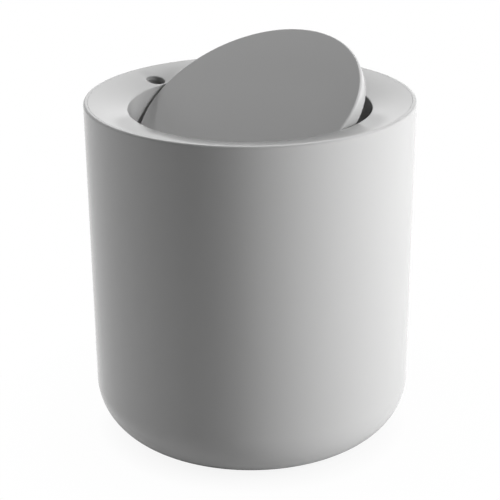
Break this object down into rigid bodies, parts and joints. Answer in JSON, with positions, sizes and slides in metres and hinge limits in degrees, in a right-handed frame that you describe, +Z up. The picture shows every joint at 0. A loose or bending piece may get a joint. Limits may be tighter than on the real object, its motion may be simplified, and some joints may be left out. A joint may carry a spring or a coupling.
{
  "type": "countertop trash can with swing lid",
  "caption": "Round countertop bin with a rounded bottom, a dished lift-off collar with a finger hole, and a weighted disc lid that swings on pivot pins.",
  "frame": {"origin": "centre of the base, on the surface that the foot pads stand on", "axes": "+Z up; +X along the lid's pivot axis, away from the finger hole; +Y towards the raised half of the lid"},
  "size_m": [0.22, 0.22, 0.2687],
  "materials": {
    "shell_plastic": "moulded, high gloss",
    "foot_rubber": "matt, non-slip",
    "bush_plastic": "satin",
    "pin_steel": "drawn wire",
    "ballast_steel": "zinc plated"
  },
  "bodies": {
    "drum_body": {"drum": "shell_plastic", "foot_pad_1": "foot_rubber", "foot_pad_2": "foot_rubber", "foot_pad_3": "foot_rubber", "foot_pad_4": "foot_rubber"},
    "collar_body": {"collar": "shell_plastic", "pivot_bush_left": "bush_plastic", "pivot_bush_right": "bush_plastic"},
    "lid_body": {"lid_face": "shell_plastic", "lid_base": "shell_plastic", "lid_ballast": "ballast_steel", "pivot_pin_left": "pin_steel", "pivot_pin_right": "pin_steel"}
  },
  "joints": [
    {"name": "collar_lift", "type": "slide", "parent": "drum_body", "child": "collar_body", "axis": [0, 0, 1], "range_m": [0, 0.12]},
    {"name": "lid_swing", "type": "hinge", "parent": "collar_body", "child": "lid_body", "pos_m": [0, 0, 0.225], "axis": [1, 0, 0], "continuous": true}
  ]
}
